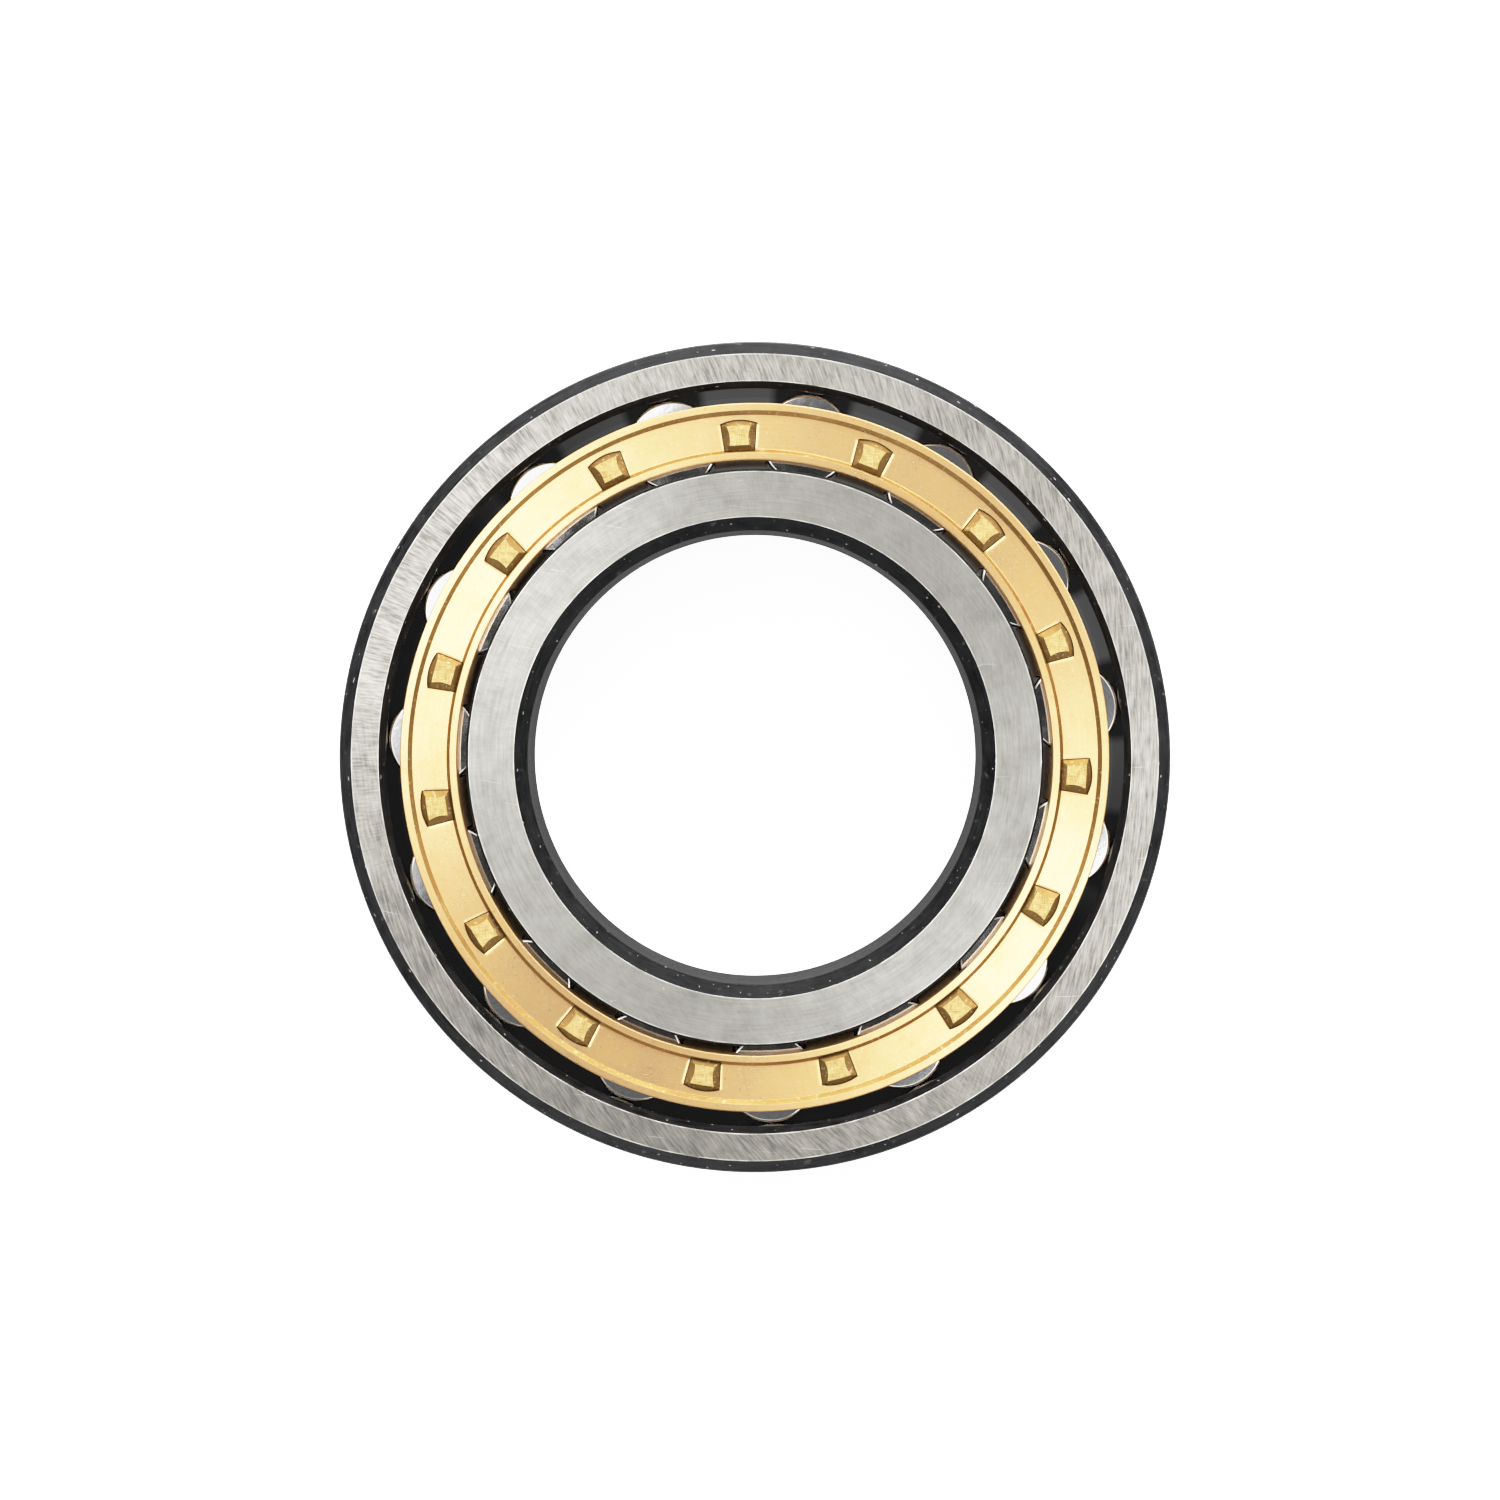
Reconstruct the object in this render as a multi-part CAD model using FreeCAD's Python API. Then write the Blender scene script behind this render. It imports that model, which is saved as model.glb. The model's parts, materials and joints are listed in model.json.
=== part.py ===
"""Cylindrical roller bearing, 60 x 110 x 22 mm, with a two-piece machined brass cage.

Frame: millimetres, +Z along the bearing's axis, origin at the centre of the bearing.
The outer ring has no ribs. The inner ring has two, which hold the rollers along the axis.
The cage is a comb (back ring, bars and tenons) closed by an end ring on the +Z side.
"""
import FreeCAD, Part
import math
import os

# --- boundary dimensions -------------------------------------------------------------------
BORE_DIAMETER = 60.0
OUTSIDE_DIAMETER = 110.0
WIDTH = 22.0
CORNER = 1.75              # corner rounding of the bore and the outside diameter, both ways
CORNER_BULGE = 0.18        # how far that rounding stands proud of a straight chamfer

# --- rollers -------------------------------------------------------------------------------
ROLLER_COUNT = 15
ROLLER_DIAMETER = 12.0
ROLLER_LENGTH = 12.0
ROLLER_EDGE = 0.45         # radius of the rounded edge at each end
PITCH_DIAMETER = 85.5      # circle through the rollers' axes
FIRST_ROLLER_ANGLE = 80.8  # degrees from +X, turning towards +Y

# --- rings ---------------------------------------------------------------------------------
RACE_CLEARANCE = 0.015     # radial gap between a centred roller and each raceway
RIB_CLEARANCE = 0.02       # axial gap between a centred roller and each rib
LEAD_IN_HEIGHT = 0.85      # bevel at each edge of the outer raceway, in radius
LEAD_IN_DEPTH = 1.5        # the same bevel, along the axis
RIB_DIAMETER = 76.2
RIB_CHAMFER = 0.3
RELIEF_REACH = 0.4         # undercut where the inner raceway meets a rib, along each face
RELIEF_BULGE = 0.42        # depth of that undercut, measured from the line across the corner

# --- cage ----------------------------------------------------------------------------------
CAGE_INSIDE_RADIUS = 39.35
CAGE_OUTSIDE_RADIUS = 46.85
CAGE_WIDTH = 20.0
CAGE_EDGE = 0.2            # chamfer on the cage's long edges
POCKET_CLEARANCE = 0.15    # gap between a roller and its pocket, all round and at each end
BAND_DEPTH = 0.5           # how far the end ring's middle band lies below its rims
INNER_WALL_TOP = 40.3      # radius where the inner rim turns down to the band
INNER_WALL_FOOT = 40.75
OUTER_WALL_FOOT = 45.3
OUTER_WALL_TOP = 45.85

# --- tenons that hold the end ring ---------------------------------------------------------
TENON_INNER_RADIUS = 40.45   # inner end of a tenon's head
TENON_OUTER_RADIUS = 44.65   # outer end of the head, at its middle
TENON_INNER_WIDTH = 4.0
TENON_OUTER_WIDTH = 4.7
TENON_OUTER_ARC = 0.5        # rise of the outer end's arc over its corners
FLARE = 0.25                 # how much the head swells over the shank on each side
FLARE_DEPTH = 0.7            # depth of the swollen part below the band
CROWN_HEIGHT = 0.45          # height of the bevelled head above the band
CROWN_LIP = 0.08             # straight wall below the bevels
CROWN_INSET = 0.8            # width of the bevel on the two ends
CROWN_SIDE_INSET = 0.95      # width of the bevel on the two sides

# --- values that follow --------------------------------------------------------------------
HALF_WIDTH = WIDTH / 2
BORE_RADIUS = BORE_DIAMETER / 2
OUTSIDE_RADIUS = OUTSIDE_DIAMETER / 2
ROLLER_RADIUS = ROLLER_DIAMETER / 2
PITCH_RADIUS = PITCH_DIAMETER / 2
INNER_RACE_RADIUS = PITCH_RADIUS - ROLLER_RADIUS - RACE_CLEARANCE
OUTER_RACE_RADIUS = PITCH_RADIUS + ROLLER_RADIUS + RACE_CLEARANCE
RIB_RADIUS = RIB_DIAMETER / 2
RIB_FACE = ROLLER_LENGTH / 2 + RIB_CLEARANCE
ROLLER_PITCH_ANGLE = 360.0 / ROLLER_COUNT
POCKET_RADIUS = ROLLER_RADIUS + POCKET_CLEARANCE
POCKET_END = ROLLER_LENGTH / 2 + POCKET_CLEARANCE
CAGE_FACE = CAGE_WIDTH / 2
BAND_FACE = CAGE_FACE - BAND_DEPTH
Z_AXIS = FreeCAD.Vector(0, 0, 1)
CENTRE = FreeCAD.Vector(0, 0, 0)


def bulged(start, end, rise):
    """Middle point of an arc from start to end that stands rise to the left of its chord."""
    run = (end[0] - start[0], end[1] - start[1])
    length = math.hypot(run[0], run[1])
    middle = ((start[0] + end[0]) / 2, (start[1] + end[1]) / 2)
    return (middle[0] - run[1] / length * rise, middle[1] + run[0] / length * rise)


def lathe(start, steps):
    """Solid of revolution about Z from an outline of (radius, z) points.

    A step is one point for a straight line, or a middle and an end point for an arc.
    """
    edges = []
    here = FreeCAD.Vector(start[0], 0, start[1])
    for step in steps + [[start]]:
        points = [FreeCAD.Vector(radius, 0, z) for radius, z in step]
        if len(points) == 1:
            edges.append(Part.makeLine(here, points[0]))
        else:
            edges.append(Part.Arc(here, points[0], points[1]).toShape())
        here = points[-1]
    face = Part.Face(Part.Wire(edges))
    return face.revolve(CENTRE, Z_AXIS, 360)


def turned(shape, degrees):
    """The shape turned about the bearing's axis."""
    copy = shape.copy()
    copy.rotate(CENTRE, Z_AXIS, degrees)
    return copy


def make_outer_ring():
    """Ring with a plain raceway, open at both sides through a lead-in bevel."""
    lead_in_radius = OUTER_RACE_RADIUS + LEAD_IN_HEIGHT
    race_end = HALF_WIDTH - LEAD_IN_DEPTH
    face_edge = OUTSIDE_RADIUS - CORNER
    wall_end = HALF_WIDTH - CORNER
    top_face = (face_edge, HALF_WIDTH)
    top_wall = (OUTSIDE_RADIUS, wall_end)
    low_face = (face_edge, -HALF_WIDTH)
    low_wall = (OUTSIDE_RADIUS, -wall_end)
    return lathe((OUTER_RACE_RADIUS, -race_end), [
        [(OUTER_RACE_RADIUS, race_end)],
        [(lead_in_radius, HALF_WIDTH)],
        [top_face],
        [bulged(top_face, top_wall, CORNER_BULGE), top_wall],
        [low_wall],
        [bulged(low_wall, low_face, CORNER_BULGE), low_face],
        [(lead_in_radius, -HALF_WIDTH)],
    ])


def make_inner_ring():
    """Ring with the shaft bore, and a raceway between two ribs."""
    face_edge = BORE_RADIUS + CORNER
    wall_end = HALF_WIDTH - CORNER
    rib_chamfer_edge = RIB_RADIUS - RIB_CHAMFER
    relief_top = INNER_RACE_RADIUS + RELIEF_REACH
    relief_end = RIB_FACE - RELIEF_REACH
    top_wall = (BORE_RADIUS, wall_end)
    top_face = (face_edge, HALF_WIDTH)
    low_wall = (BORE_RADIUS, -wall_end)
    low_face = (face_edge, -HALF_WIDTH)
    top_rib_foot = (relief_top, RIB_FACE)
    top_race_end = (INNER_RACE_RADIUS, relief_end)
    low_race_end = (INNER_RACE_RADIUS, -relief_end)
    low_rib_foot = (relief_top, -RIB_FACE)
    return lathe(top_wall, [
        [bulged(top_wall, top_face, CORNER_BULGE), top_face],
        [(rib_chamfer_edge, HALF_WIDTH)],
        [(RIB_RADIUS, HALF_WIDTH - RIB_CHAMFER)],
        [(RIB_RADIUS, RIB_FACE + RIB_CHAMFER)],
        [(rib_chamfer_edge, RIB_FACE)],
        [top_rib_foot],
        [bulged(top_rib_foot, top_race_end, -RELIEF_BULGE), top_race_end],
        [low_race_end],
        [bulged(low_race_end, low_rib_foot, -RELIEF_BULGE), low_rib_foot],
        [(rib_chamfer_edge, -RIB_FACE)],
        [(RIB_RADIUS, -RIB_FACE - RIB_CHAMFER)],
        [(RIB_RADIUS, -HALF_WIDTH + RIB_CHAMFER)],
        [(rib_chamfer_edge, -HALF_WIDTH)],
        [low_face],
        [bulged(low_face, low_wall, CORNER_BULGE), low_wall],
    ])


def make_roller():
    """Roller with rounded edges, standing on the pitch circle on +X."""
    half_length = ROLLER_LENGTH / 2
    flat_radius = ROLLER_RADIUS - ROLLER_EDGE
    side_end = half_length - ROLLER_EDGE
    edge_middle = ROLLER_EDGE * (1 - math.sqrt(0.5))
    roller = lathe((0, -half_length), [
        [(flat_radius, -half_length)],
        [(ROLLER_RADIUS - edge_middle, -half_length + edge_middle), (ROLLER_RADIUS, -side_end)],
        [(ROLLER_RADIUS, side_end)],
        [(ROLLER_RADIUS - edge_middle, half_length - edge_middle), (flat_radius, half_length)],
        [(0, half_length)],
    ])
    roller.translate(FreeCAD.Vector(PITCH_RADIUS, 0, 0))
    return roller


def tenon_outline(z, end_inset, side_inset, arc_rise):
    """Wedge outline on +X, wider outwards, with its outer end a shallow arc."""
    inner = TENON_INNER_RADIUS + end_inset
    corner = TENON_OUTER_RADIUS - end_inset - arc_rise
    inner_half = TENON_INNER_WIDTH / 2 - side_inset
    outer_half = TENON_OUTER_WIDTH / 2 - side_inset
    inner_right = FreeCAD.Vector(inner, -inner_half, z)
    outer_right = FreeCAD.Vector(corner, -outer_half, z)
    outer_tip = FreeCAD.Vector(corner + arc_rise, 0, z)
    outer_left = FreeCAD.Vector(corner, outer_half, z)
    inner_left = FreeCAD.Vector(inner, inner_half, z)
    return Part.Wire([
        Part.makeLine(inner_right, outer_right),
        Part.Arc(outer_right, outer_tip, outer_left).toShape(),
        Part.makeLine(outer_left, inner_left),
        Part.makeLine(inner_left, inner_right),
    ])


def tenon_block(low_z, high_z, low_inset, high_inset):
    """Straight or tapered length of a tenon between two heights."""
    low = tenon_outline(low_z, low_inset, low_inset, TENON_OUTER_ARC)
    high = tenon_outline(high_z, high_inset, high_inset, TENON_OUTER_ARC)
    return Part.makeLoft([low, high], True, True)


def make_tenon_hole():
    """What a tenon needs out of the end ring: the shank and the swollen part above it."""
    shank = tenon_block(POCKET_END - 1, BAND_FACE - FLARE_DEPTH, FLARE, FLARE)
    flare = tenon_block(BAND_FACE - FLARE_DEPTH, BAND_FACE, FLARE, 0)
    mouth = tenon_block(BAND_FACE, CAGE_FACE + 1, 0, 0)
    return shank.fuse([flare, mouth]).removeSplitter()


def make_tenon():
    """Tenon from inside the bar up to the bevelled head, on +X."""
    lip_z = BAND_FACE + CROWN_LIP
    shank = tenon_block(POCKET_END - 1, BAND_FACE - FLARE_DEPTH, FLARE, FLARE)
    flare = tenon_block(BAND_FACE - FLARE_DEPTH, BAND_FACE, FLARE, 0)
    lip = tenon_block(BAND_FACE, lip_z, 0, 0)
    crown_foot = tenon_outline(lip_z, 0, 0, TENON_OUTER_ARC)
    crown_top = tenon_outline(BAND_FACE + CROWN_HEIGHT, CROWN_INSET, CROWN_SIDE_INSET, 0.05)
    crown = Part.makeLoft([crown_foot, crown_top], True, True)
    return shank.fuse([flare, lip, crown]).removeSplitter()


def make_cage_end_ring():
    """Ring on the +Z side with two raised rims and a hole for each tenon."""
    ring = lathe((CAGE_INSIDE_RADIUS, POCKET_END), [
        [(CAGE_INSIDE_RADIUS, CAGE_FACE - CAGE_EDGE)],
        [(CAGE_INSIDE_RADIUS + CAGE_EDGE, CAGE_FACE)],
        [(INNER_WALL_TOP, CAGE_FACE)],
        [(INNER_WALL_FOOT, BAND_FACE)],
        [(OUTER_WALL_FOOT, BAND_FACE)],
        [(OUTER_WALL_TOP, CAGE_FACE)],
        [(CAGE_OUTSIDE_RADIUS - CAGE_EDGE, CAGE_FACE)],
        [(CAGE_OUTSIDE_RADIUS, CAGE_FACE - CAGE_EDGE)],
        [(CAGE_OUTSIDE_RADIUS, POCKET_END)],
    ])
    hole = make_tenon_hole()
    first = FIRST_ROLLER_ANGLE + ROLLER_PITCH_ANGLE / 2
    holes = [turned(hole, first + i * ROLLER_PITCH_ANGLE) for i in range(ROLLER_COUNT)]
    return ring.cut(holes)


def make_cage_body():
    """Comb: a back ring on the -Z side, a bar between each pair of rollers, and the tenons."""
    comb = lathe((CAGE_INSIDE_RADIUS, -CAGE_FACE + CAGE_EDGE), [
        [(CAGE_INSIDE_RADIUS, POCKET_END)],
        [(CAGE_OUTSIDE_RADIUS, POCKET_END)],
        [(CAGE_OUTSIDE_RADIUS, -CAGE_FACE + CAGE_EDGE)],
        [(CAGE_OUTSIDE_RADIUS - CAGE_EDGE, -CAGE_FACE)],
        [(CAGE_INSIDE_RADIUS + CAGE_EDGE, -CAGE_FACE)],
    ])
    floor = FreeCAD.Vector(PITCH_RADIUS, 0, -POCKET_END)
    pocket = Part.makeCylinder(POCKET_RADIUS, 2 * POCKET_END + 1, floor)
    tenon = make_tenon()
    pockets = []
    tenons = []
    for i in range(ROLLER_COUNT):
        angle = FIRST_ROLLER_ANGLE + i * ROLLER_PITCH_ANGLE
        pockets.append(turned(pocket, angle))
        tenons.append(turned(tenon, angle + ROLLER_PITCH_ANGLE / 2))
    return comb.cut(pockets).fuse(tenons).removeSplitter()


def make_parts():
    """Every sub-part by its node name."""
    parts = {
        "outer_ring": make_outer_ring(),
        "inner_ring": make_inner_ring(),
        "cage_body": make_cage_body(),
        "cage_end_ring": make_cage_end_ring(),
    }
    roller = make_roller()
    for i in range(ROLLER_COUNT):
        angle = FIRST_ROLLER_ANGLE + i * ROLLER_PITCH_ANGLE
        parts["roller_%02d" % (i + 1)] = turned(roller, angle)
    return parts


os.makedirs("parts", exist_ok=True)
for name, shape in make_parts().items():
    if not shape.isValid() or len(shape.Solids) != 1:
        raise ValueError("%s isn't one valid solid" % name)
    shape.Solids[0].exportStep("parts/%s.step" % name)
    print("%-14s %10.1f mm3" % (name, shape.Volume))
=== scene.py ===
"""Cylindrical roller bearing with a machined brass cage: the looks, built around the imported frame.

Metres, in the CAD frame: +Z along the bearing's axis, origin at the centre of the bearing.
Rings and rollers are turned from outlines of rounded corners. The cage is cut and joined
from turned blanks, with its fifteen tenon heads modelled facet by facet.
"""
import json
import math
import bmesh
import bpy
from mathutils import Matrix, Vector

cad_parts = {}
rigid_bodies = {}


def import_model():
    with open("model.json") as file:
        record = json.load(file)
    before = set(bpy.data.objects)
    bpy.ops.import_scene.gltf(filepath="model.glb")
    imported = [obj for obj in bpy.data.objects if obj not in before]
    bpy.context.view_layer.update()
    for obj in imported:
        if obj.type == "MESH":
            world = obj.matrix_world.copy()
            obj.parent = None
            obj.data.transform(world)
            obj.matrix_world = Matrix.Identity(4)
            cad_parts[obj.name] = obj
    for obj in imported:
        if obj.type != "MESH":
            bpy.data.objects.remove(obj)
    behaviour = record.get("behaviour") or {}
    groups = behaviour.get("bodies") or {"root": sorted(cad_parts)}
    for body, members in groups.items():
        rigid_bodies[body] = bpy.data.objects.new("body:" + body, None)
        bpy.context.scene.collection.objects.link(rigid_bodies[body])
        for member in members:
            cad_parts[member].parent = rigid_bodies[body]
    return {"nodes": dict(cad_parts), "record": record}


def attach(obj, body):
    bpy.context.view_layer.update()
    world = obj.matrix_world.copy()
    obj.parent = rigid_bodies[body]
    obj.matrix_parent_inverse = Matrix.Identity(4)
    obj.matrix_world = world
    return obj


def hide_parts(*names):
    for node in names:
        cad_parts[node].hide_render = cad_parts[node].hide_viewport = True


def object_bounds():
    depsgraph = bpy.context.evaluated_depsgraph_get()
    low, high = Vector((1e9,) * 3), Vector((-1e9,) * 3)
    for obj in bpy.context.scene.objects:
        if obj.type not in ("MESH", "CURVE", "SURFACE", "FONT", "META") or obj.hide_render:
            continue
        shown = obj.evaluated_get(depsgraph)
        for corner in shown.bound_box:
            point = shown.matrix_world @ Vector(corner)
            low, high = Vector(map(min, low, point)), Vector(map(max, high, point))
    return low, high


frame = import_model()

cad_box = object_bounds()
MM = 0.001
RING_SEGMENTS = 360
ROLLER_SEGMENTS = 120
POCKET_SEGMENTS = 96


# --- sizes read from the frame ----------------------------------------------------------------
def extent(node, centre=Vector((0, 0, 0))):
    """Least and greatest distance from an axis along Z, and lowest and highest z, of a CAD node."""
    points = [v.co - centre for v in frame["nodes"][node].data.vertices]
    radii = [math.hypot(p.x, p.y) for p in points]
    heights = [p.z for p in points]
    return min(radii), max(radii), min(heights), max(heights)


def joint_places(suffix):
    """Child body and place of every joint whose name ends with suffix."""
    joints = frame["record"]["behaviour"]["joints"]
    return {j["child"]: Vector(j["pos_m"]) for j in joints if j["name"].endswith(suffix)}


ROLLER_PLACES = {k: p for k, p in joint_places("_spin").items() if k.startswith("roller_")}
FIRST_ROLLER = ROLLER_PLACES["roller_01"]
ROLLER_COUNT = len(ROLLER_PLACES)
ROLLER_STEP = 2 * math.pi / ROLLER_COUNT
FIRST_ROLLER_ANGLE = math.atan2(FIRST_ROLLER.y, FIRST_ROLLER.x)
FIRST_TENON_ANGLE = FIRST_ROLLER_ANGLE + ROLLER_STEP / 2
PITCH_RADIUS = math.hypot(FIRST_ROLLER.x, FIRST_ROLLER.y)
RACE_RADIUS, OUTSIDE_RADIUS, _, HALF_WIDTH = extent("outer_ring")
BORE_RADIUS, RIB_RADIUS, _, _ = extent("inner_ring")
CAGE_INSIDE, CAGE_OUTSIDE, POCKET_END, CAGE_FACE = extent("cage_end_ring")
_, _, CAGE_BACK, HEAD_TOP = extent("cage_body")
_, ROLLER_RADIUS, _, ROLLER_HALF = extent("roller_01", FIRST_ROLLER)

# --- finer sizes, in metres -------------------------------------------------------------------
INNER_RACE_RADIUS = PITCH_RADIUS - ROLLER_RADIUS - 0.015 * MM
RIB_FACE = ROLLER_HALF + 0.02 * MM
CORNER = 1.75 * MM            # corner of the bore and the outside diameter
BORE_ROUND = 0.9 * MM         # where the bore's corner runs into its wall
OUTSIDE_ROUND = 2.0 * MM      # the same outside, softer
LEAD_IN_HEIGHT = 0.85 * MM
LEAD_IN_DEPTH = 1.5 * MM
RACE_EDGE = 0.12 * MM
RIB_CHAMFER = 0.3 * MM
GROOVE = 0.14 * MM            # relief between the inner raceway and a rib
GROOVE_ROUND = 0.25 * MM
BURR = 0.09 * MM              # rounding left on a ground edge
ROLLER_EDGE = 0.45 * MM
ROLLER_GRAIN_TURN = 2.4       # radians from one roller's end marks to the next one's
POCKET_RADIUS = ROLLER_RADIUS + 0.15 * MM
CAGE_EDGE = 0.2 * MM
CAGE_BACK_EDGE = 0.1 * MM
WALL_ROUND = 0.08 * MM        # top edges of the end ring's two rims, next to the band
BAND_FACE = CAGE_FACE - 0.5 * MM
INNER_WALL_TOP = 40.3 * MM
INNER_WALL_FOOT = 40.75 * MM
OUTER_WALL_FOOT = 45.3 * MM
OUTER_WALL_TOP = 45.85 * MM
FOOT_FILLET = 0.14 * MM

HEAD_INNER = 40.5 * MM        # inner end of a tenon head
HEAD_OUTER = 44.62 * MM       # outer end, at the middle of its arc
HEAD_ARC = 0.5 * MM           # rise of that arc
HEAD_INNER_HALF = 1.98 * MM
HEAD_OUTER_HALF = 2.40 * MM
PAD_INNER = 41.27 * MM        # the flat on top of a head
PAD_OUTER = 43.84 * MM
PAD_INNER_HALF = 1.31 * MM
PAD_OUTER_HALF = 1.60 * MM
PAD_WAIST = 0.22 * MM         # how far the flat's sides curve in
PAD_ARC = 0.05 * MM
PAD_BEVEL = 0.03 * MM         # how much wider a head is just under its flat
NECK_IN = 0.25 * MM           # how much slimmer a tenon is below its head
NECK_TOP = BAND_FACE - 0.7 * MM
TENON_FOOT = POCKET_END - 1 * MM
TENON_EDGE = 0.035 * MM
HEAD_GAP = 0.06 * MM
SWEPT_SIDE = 0.42 * MM        # burnished slope beside a head
SWEPT_DEPTH = 0.085 * MM
SWEPT_INNER = INNER_WALL_FOOT + 0.12 * MM
CUT_PAST = 0.02 * MM          # how far the slope's cutter stands above the band


# --- mesh helpers -----------------------------------------------------------------------------
def rounded_outline(corners, steps=5):
    """Outline points with every corner rounded to its own radius.

    Each corner is (radius, z, rounding, finish). The finish holds from that corner to the next,
    and starts a third of the way round the corner.
    Returns a list of ((radius, z), finish), one for each outline point.
    """
    outline = []
    count = len(corners)
    for i, (x, z, rounding, finish) in enumerate(corners):
        before = corners[i - 1]
        after = corners[(i + 1) % count]
        here = Vector((x, z))
        back = (Vector(before[:2]) - here).normalized()
        ahead = (Vector(after[:2]) - here).normalized()
        if rounding == 0:
            outline.append((here, finish))
            continue
        half_angle = back.angle(ahead) / 2
        reach = rounding / math.tan(half_angle)
        middle = here + (back + ahead).normalized() * (rounding / math.sin(half_angle))
        first = here + back * reach - middle
        turn = (math.pi - 2 * half_angle) * (1 if back.cross(ahead) < 0 else -1)
        for step in range(steps + 1):
            share = step / steps
            spoke = first.copy()
            spoke.rotate(Matrix.Rotation(turn * share, 2))
            outline.append((middle + spoke, before[3] if share < 0.35 else finish))
    return outline


def lathe_mesh(name, outline, segments, closed=True):
    """Mesh turned about Z from an outline, with the finishes as material indices."""
    mesh = bpy.data.meshes.new(name)
    shape = bmesh.new()
    rows = []
    for point, _ in outline:
        row = []
        if point.x < 1e-9:
            row = [shape.verts.new((0, 0, point.y))] * segments
        else:
            for s in range(segments):
                angle = 2 * math.pi * s / segments
                row.append(shape.verts.new((point.x * math.cos(angle), point.x * math.sin(angle), point.y)))
        rows.append(row)
    last = len(rows) if closed else len(rows) - 1
    for i in range(last):
        low, high = rows[i], rows[(i + 1) % len(rows)]
        for s in range(segments):
            t = (s + 1) % segments
            ring = [low[s], low[t], high[t], high[s]]
            corners = [v for n, v in enumerate(ring) if v not in ring[:n]]
            face = shape.faces.new(corners)
            face.material_index = outline[i][1]
    bmesh.ops.recalc_face_normals(shape, faces=shape.faces)
    shape.to_mesh(mesh)
    shape.free()
    return mesh


def loops_mesh(name, loops, side=0, top=0):
    """Closed mesh from a stack of loops with equal counts, capped at both ends."""
    mesh = bpy.data.meshes.new(name)
    shape = bmesh.new()
    rows = [[shape.verts.new(p) for p in loop] for loop in loops]
    count = len(rows[0])
    for low, high in zip(rows, rows[1:]):
        for s in range(count):
            t = (s + 1) % count
            face = shape.faces.new((low[s], low[t], high[t], high[s]))
            face.material_index = side
    shape.faces.new(rows[0]).material_index = side
    shape.faces.new(rows[-1]).material_index = top
    bmesh.ops.recalc_face_normals(shape, faces=shape.faces)
    shape.to_mesh(mesh)
    shape.free()
    return mesh


def new_object(name, mesh, materials=()):
    """Object in the scene with its materials."""
    thing = bpy.data.objects.new(name, mesh)
    bpy.context.scene.collection.objects.link(thing)
    for material in materials:
        mesh.materials.append(material)
    return thing


def baked(thing):
    """Replace an object's mesh by its evaluated one and drop its modifiers."""
    graph = bpy.context.evaluated_depsgraph_get()
    mesh = bpy.data.meshes.new_from_object(thing.evaluated_get(graph), depsgraph=graph)
    thing.modifiers.clear()
    thing.data = mesh
    return thing


def combined(thing, others, operation):
    """Cut the other objects out of a thing, or join them to it, and delete them."""
    group = bpy.data.collections.new(thing.name + "_tools")
    for other in others:
        group.objects.link(other)
    step = thing.modifiers.new("combine", "BOOLEAN")
    step.operation = operation
    step.operand_type = "COLLECTION"
    step.collection = group
    step.solver = "EXACT"
    bpy.context.view_layer.update()
    baked(thing)
    for other in list(group.objects):
        bpy.data.objects.remove(other, do_unlink=True)
    bpy.data.collections.remove(group)


def finished(thing, sharp_degrees=28):
    """Smooth shading with true flats: edges over the angle stay sharp."""
    for polygon in thing.data.polygons:
        polygon.use_smooth = True
    thing.data.set_sharp_from_angle(angle=math.radians(sharp_degrees))
    step = thing.modifiers.new("flats", "WEIGHTED_NORMAL")
    step.keep_sharp = True
    step.weight = 100


def copies_round(source, first_angle):
    """The object and its copies, one for each roller, turned about the bearing's axis."""
    copies = []
    for i in range(ROLLER_COUNT):
        copy = source if i == 0 else source.copy()
        if i:
            bpy.context.scene.collection.objects.link(copy)
        copy.matrix_world = Matrix.Rotation(first_angle + i * ROLLER_STEP, 4, "Z")
        copies.append(copy)
    return copies


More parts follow.
